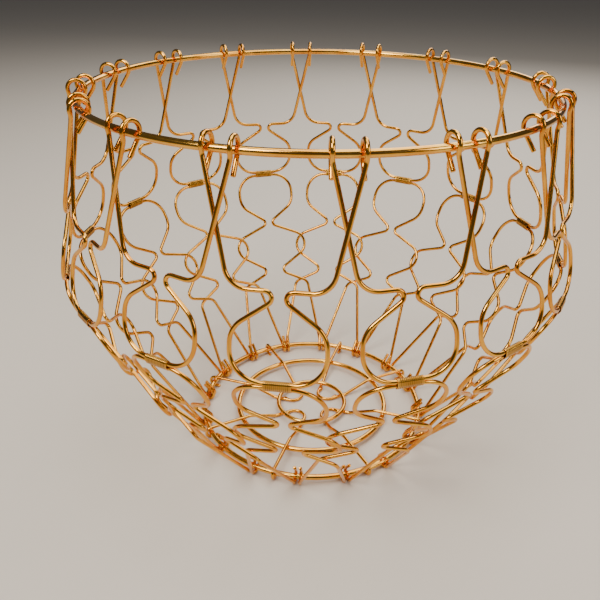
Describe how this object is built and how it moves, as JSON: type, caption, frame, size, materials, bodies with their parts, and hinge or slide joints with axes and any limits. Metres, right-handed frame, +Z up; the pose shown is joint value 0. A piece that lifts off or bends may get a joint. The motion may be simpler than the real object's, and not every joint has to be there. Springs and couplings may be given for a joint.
{
  "type": "wire produce basket",
  "caption": "Round wire produce basket whose bent-wire loops hook over a rim ring and a base ring and fold at oval ferrules round the waist.",
  "frame": {"origin": "on the standing surface, under the middle of the base ring", "axes": "+Z up along the basket's axis; -Y is the front, where loop 01 stands; loops are numbered from the front towards +X"},
  "size_m": [0.326, 0.326, 0.2493],
  "materials": {
    "loop_wire_gold": "bright gold-coloured plating on 2.4 mm steel wire",
    "ring_wire_gold": "bright gold-coloured plating on 3.2 to 4.0 mm steel wire",
    "ferrule_gold": "plated oval ferrule with fine crimp ribs, a little duller than the wire"
  },
  "bodies": {
    "base": {"base_ring": "ring_wire_gold", "mid_ring": "ring_wire_gold", "inner_ring": "ring_wire_gold", "floor_wire_1": "loop_wire_gold", "floor_wire_2": "loop_wire_gold", "floor_wire_3": "loop_wire_gold", "floor_wire_4": "loop_wire_gold"},
    "rim": {"rim_ring": "ring_wire_gold"},
    "lower_01": {"lower_loop_01": "loop_wire_gold", "ferrule_01": "ferrule_gold"},
    "upper_01": {"upper_loop_01": "loop_wire_gold"},
    "lower_02": {"lower_loop_02": "loop_wire_gold", "ferrule_02": "ferrule_gold"},
    "upper_02": {"upper_loop_02": "loop_wire_gold"},
    "lower_03": {"lower_loop_03": "loop_wire_gold", "ferrule_03": "ferrule_gold"},
    "upper_03": {"upper_loop_03": "loop_wire_gold"},
    "lower_04": {"lower_loop_04": "loop_wire_gold", "ferrule_04": "ferrule_gold"},
    "upper_04": {"upper_loop_04": "loop_wire_gold"},
    "lower_05": {"lower_loop_05": "loop_wire_gold", "ferrule_05": "ferrule_gold"},
    "upper_05": {"upper_loop_05": "loop_wire_gold"},
    "lower_06": {"lower_loop_06": "loop_wire_gold", "ferrule_06": "ferrule_gold"},
    "upper_06": {"upper_loop_06": "loop_wire_gold"},
    "lower_07": {"lower_loop_07": "loop_wire_gold", "ferrule_07": "ferrule_gold"},
    "upper_07": {"upper_loop_07": "loop_wire_gold"},
    "lower_08": {"lower_loop_08": "loop_wire_gold", "ferrule_08": "ferrule_gold"},
    "upper_08": {"upper_loop_08": "loop_wire_gold"},
    "lower_09": {"lower_loop_09": "loop_wire_gold", "ferrule_09": "ferrule_gold"},
    "upper_09": {"upper_loop_09": "loop_wire_gold"},
    "lower_10": {"lower_loop_10": "loop_wire_gold", "ferrule_10": "ferrule_gold"},
    "upper_10": {"upper_loop_10": "loop_wire_gold"},
    "lower_11": {"lower_loop_11": "loop_wire_gold", "ferrule_11": "ferrule_gold"},
    "upper_11": {"upper_loop_11": "loop_wire_gold"},
    "lower_12": {"lower_loop_12": "loop_wire_gold", "ferrule_12": "ferrule_gold"},
    "upper_12": {"upper_loop_12": "loop_wire_gold"},
    "lower_13": {"lower_loop_13": "loop_wire_gold", "ferrule_13": "ferrule_gold"},
    "upper_13": {"upper_loop_13": "loop_wire_gold"},
    "lower_14": {"lower_loop_14": "loop_wire_gold", "ferrule_14": "ferrule_gold"},
    "upper_14": {"upper_loop_14": "loop_wire_gold"},
    "lower_15": {"lower_loop_15": "loop_wire_gold", "ferrule_15": "ferrule_gold"},
    "upper_15": {"upper_loop_15": "loop_wire_gold"},
    "lower_16": {"lower_loop_16": "loop_wire_gold", "ferrule_16": "ferrule_gold"},
    "upper_16": {"upper_loop_16": "loop_wire_gold"}
  },
  "joints": [
    {"name": "rim_slide", "type": "slide", "parent": "base", "child": "rim", "axis": [0, 0, 1], "range_m": [-0.011, 0.011]},
    {"name": "base_hinge_01", "type": "hinge", "parent": "base", "child": "lower_01", "pos_m": [0, -0.07645, 0.00486], "axis": [1, 0, 0], "range_deg": [-5.6, 5.6]},
    {"name": "waist_hinge_01", "type": "hinge", "parent": "lower_01", "child": "upper_01", "pos_m": [0, -0.16122, 0.13828], "axis": [1, 0, 0], "range_deg": [-12.6, 12.6]},
    {"name": "base_hinge_02", "type": "hinge", "parent": "base", "child": "lower_02", "pos_m": [0.02926, -0.07063, 0.00486], "axis": [0.9239, 0.3827, 0], "range_deg": [-5.6, 5.6]},
    {"name": "waist_hinge_02", "type": "hinge", "parent": "lower_02", "child": "upper_02", "pos_m": [0.06169, -0.14894, 0.13828], "axis": [0.9239, 0.3827, 0], "range_deg": [-12.6, 12.6]},
    {"name": "base_hinge_03", "type": "hinge", "parent": "base", "child": "lower_03", "pos_m": [0.05406, -0.05406, 0.00486], "axis": [0.7071, 0.7071, 0], "range_deg": [-5.6, 5.6]},
    {"name": "waist_hinge_03", "type": "hinge", "parent": "lower_03", "child": "upper_03", "pos_m": [0.114, -0.114, 0.13828], "axis": [0.7071, 0.7071, 0], "range_deg": [-12.6, 12.6]},
    {"name": "base_hinge_04", "type": "hinge", "parent": "base", "child": "lower_04", "pos_m": [0.07063, -0.02926, 0.00486], "axis": [0.3827, 0.9239, 0], "range_deg": [-5.6, 5.6]},
    {"name": "waist_hinge_04", "type": "hinge", "parent": "lower_04", "child": "upper_04", "pos_m": [0.14894, -0.06169, 0.13828], "axis": [0.3827, 0.9239, 0], "range_deg": [-12.6, 12.6]},
    {"name": "base_hinge_05", "type": "hinge", "parent": "base", "child": "lower_05", "pos_m": [0.07645, 0, 0.00486], "axis": [0, 1, 0], "range_deg": [-5.6, 5.6]},
    {"name": "waist_hinge_05", "type": "hinge", "parent": "lower_05", "child": "upper_05", "pos_m": [0.16122, 0, 0.13828], "axis": [0, 1, 0], "range_deg": [-12.6, 12.6]},
    {"name": "base_hinge_06", "type": "hinge", "parent": "base", "child": "lower_06", "pos_m": [0.07063, 0.02926, 0.00486], "axis": [-0.3827, 0.9239, 0], "range_deg": [-5.6, 5.6]},
    {"name": "waist_hinge_06", "type": "hinge", "parent": "lower_06", "child": "upper_06", "pos_m": [0.14894, 0.06169, 0.13828], "axis": [-0.3827, 0.9239, 0], "range_deg": [-12.6, 12.6]},
    {"name": "base_hinge_07", "type": "hinge", "parent": "base", "child": "lower_07", "pos_m": [0.05406, 0.05406, 0.00486], "axis": [-0.7071, 0.7071, 0], "range_deg": [-5.6, 5.6]},
    {"name": "waist_hinge_07", "type": "hinge", "parent": "lower_07", "child": "upper_07", "pos_m": [0.114, 0.114, 0.13828], "axis": [-0.7071, 0.7071, 0], "range_deg": [-12.6, 12.6]},
    {"name": "base_hinge_08", "type": "hinge", "parent": "base", "child": "lower_08", "pos_m": [0.02926, 0.07063, 0.00486], "axis": [-0.9239, 0.3827, 0], "range_deg": [-5.6, 5.6]},
    {"name": "waist_hinge_08", "type": "hinge", "parent": "lower_08", "child": "upper_08", "pos_m": [0.06169, 0.14894, 0.13828], "axis": [-0.9239, 0.3827, 0], "range_deg": [-12.6, 12.6]},
    {"name": "base_hinge_09", "type": "hinge", "parent": "base", "child": "lower_09", "pos_m": [0, 0.07645, 0.00486], "axis": [-1, 0, 0], "range_deg": [-5.6, 5.6]},
    {"name": "waist_hinge_09", "type": "hinge", "parent": "lower_09", "child": "upper_09", "pos_m": [0, 0.16122, 0.13828], "axis": [-1, 0, 0], "range_deg": [-12.6, 12.6]},
    {"name": "base_hinge_10", "type": "hinge", "parent": "base", "child": "lower_10", "pos_m": [-0.02926, 0.07063, 0.00486], "axis": [-0.9239, -0.3827, 0], "range_deg": [-5.6, 5.6]},
    {"name": "waist_hinge_10", "type": "hinge", "parent": "lower_10", "child": "upper_10", "pos_m": [-0.06169, 0.14894, 0.13828], "axis": [-0.9239, -0.3827, 0], "range_deg": [-12.6, 12.6]},
    {"name": "base_hinge_11", "type": "hinge", "parent": "base", "child": "lower_11", "pos_m": [-0.05406, 0.05406, 0.00486], "axis": [-0.7071, -0.7071, 0], "range_deg": [-5.6, 5.6]},
    {"name": "waist_hinge_11", "type": "hinge", "parent": "lower_11", "child": "upper_11", "pos_m": [-0.114, 0.114, 0.13828], "axis": [-0.7071, -0.7071, 0], "range_deg": [-12.6, 12.6]},
    {"name": "base_hinge_12", "type": "hinge", "parent": "base", "child": "lower_12", "pos_m": [-0.07063, 0.02926, 0.00486], "axis": [-0.3827, -0.9239, 0], "range_deg": [-5.6, 5.6]},
    {"name": "waist_hinge_12", "type": "hinge", "parent": "lower_12", "child": "upper_12", "pos_m": [-0.14894, 0.06169, 0.13828], "axis": [-0.3827, -0.9239, 0], "range_deg": [-12.6, 12.6]},
    {"name": "base_hinge_13", "type": "hinge", "parent": "base", "child": "lower_13", "pos_m": [-0.07645, 0, 0.00486], "axis": [0, -1, 0], "range_deg": [-5.6, 5.6]},
    {"name": "waist_hinge_13", "type": "hinge", "parent": "lower_13", "child": "upper_13", "pos_m": [-0.16122, 0, 0.13828], "axis": [0, -1, 0], "range_deg": [-12.6, 12.6]},
    {"name": "base_hinge_14", "type": "hinge", "parent": "base", "child": "lower_14", "pos_m": [-0.07063, -0.02926, 0.00486], "axis": [0.3827, -0.9239, 0], "range_deg": [-5.6, 5.6]},
    {"name": "waist_hinge_14", "type": "hinge", "parent": "lower_14", "child": "upper_14", "pos_m": [-0.14894, -0.06169, 0.13828], "axis": [0.3827, -0.9239, 0], "range_deg": [-12.6, 12.6]},
    {"name": "base_hinge_15", "type": "hinge", "parent": "base", "child": "lower_15", "pos_m": [-0.05406, -0.05406, 0.00486], "axis": [0.7071, -0.7071, 0], "range_deg": [-5.6, 5.6]},
    {"name": "waist_hinge_15", "type": "hinge", "parent": "lower_15", "child": "upper_15", "pos_m": [-0.114, -0.114, 0.13828], "axis": [0.7071, -0.7071, 0], "range_deg": [-12.6, 12.6]},
    {"name": "base_hinge_16", "type": "hinge", "parent": "base", "child": "lower_16", "pos_m": [-0.02926, -0.07063, 0.00486], "axis": [0.9239, -0.3827, 0], "range_deg": [-5.6, 5.6]},
    {"name": "waist_hinge_16", "type": "hinge", "parent": "lower_16", "child": "upper_16", "pos_m": [-0.06169, -0.14894, 0.13828], "axis": [0.9239, -0.3827, 0], "range_deg": [-12.6, 12.6]}
  ],
  "couplings": [
    {"joint": "base_hinge_01", "follows": "rim_slide", "rad_per_m": -8.5147},
    {"joint": "waist_hinge_01", "follows": "rim_slide", "rad_per_m": 19.468},
    {"joint": "base_hinge_02", "follows": "rim_slide", "rad_per_m": -8.5147},
    {"joint": "waist_hinge_02", "follows": "rim_slide", "rad_per_m": 19.468},
    {"joint": "base_hinge_03", "follows": "rim_slide", "rad_per_m": -8.5147},
    {"joint": "waist_hinge_03", "follows": "rim_slide", "rad_per_m": 19.468},
    {"joint": "base_hinge_04", "follows": "rim_slide", "rad_per_m": -8.5147},
    {"joint": "waist_hinge_04", "follows": "rim_slide", "rad_per_m": 19.468},
    {"joint": "base_hinge_05", "follows": "rim_slide", "rad_per_m": -8.5147},
    {"joint": "waist_hinge_05", "follows": "rim_slide", "rad_per_m": 19.468},
    {"joint": "base_hinge_06", "follows": "rim_slide", "rad_per_m": -8.5147},
    {"joint": "waist_hinge_06", "follows": "rim_slide", "rad_per_m": 19.468},
    {"joint": "base_hinge_07", "follows": "rim_slide", "rad_per_m": -8.5147},
    {"joint": "waist_hinge_07", "follows": "rim_slide", "rad_per_m": 19.468},
    {"joint": "base_hinge_08", "follows": "rim_slide", "rad_per_m": -8.5147},
    {"joint": "waist_hinge_08", "follows": "rim_slide", "rad_per_m": 19.468},
    {"joint": "base_hinge_09", "follows": "rim_slide", "rad_per_m": -8.5147},
    {"joint": "waist_hinge_09", "follows": "rim_slide", "rad_per_m": 19.468},
    {"joint": "base_hinge_10", "follows": "rim_slide", "rad_per_m": -8.5147},
    {"joint": "waist_hinge_10", "follows": "rim_slide", "rad_per_m": 19.468},
    {"joint": "base_hinge_11", "follows": "rim_slide", "rad_per_m": -8.5147},
    {"joint": "waist_hinge_11", "follows": "rim_slide", "rad_per_m": 19.468},
    {"joint": "base_hinge_12", "follows": "rim_slide", "rad_per_m": -8.5147},
    {"joint": "waist_hinge_12", "follows": "rim_slide", "rad_per_m": 19.468},
    {"joint": "base_hinge_13", "follows": "rim_slide", "rad_per_m": -8.5147},
    {"joint": "waist_hinge_13", "follows": "rim_slide", "rad_per_m": 19.468},
    {"joint": "base_hinge_14", "follows": "rim_slide", "rad_per_m": -8.5147},
    {"joint": "waist_hinge_14", "follows": "rim_slide", "rad_per_m": 19.468},
    {"joint": "base_hinge_15", "follows": "rim_slide", "rad_per_m": -8.5147},
    {"joint": "waist_hinge_15", "follows": "rim_slide", "rad_per_m": 19.468},
    {"joint": "base_hinge_16", "follows": "rim_slide", "rad_per_m": -8.5147},
    {"joint": "waist_hinge_16", "follows": "rim_slide", "rad_per_m": 19.468}
  ]
}
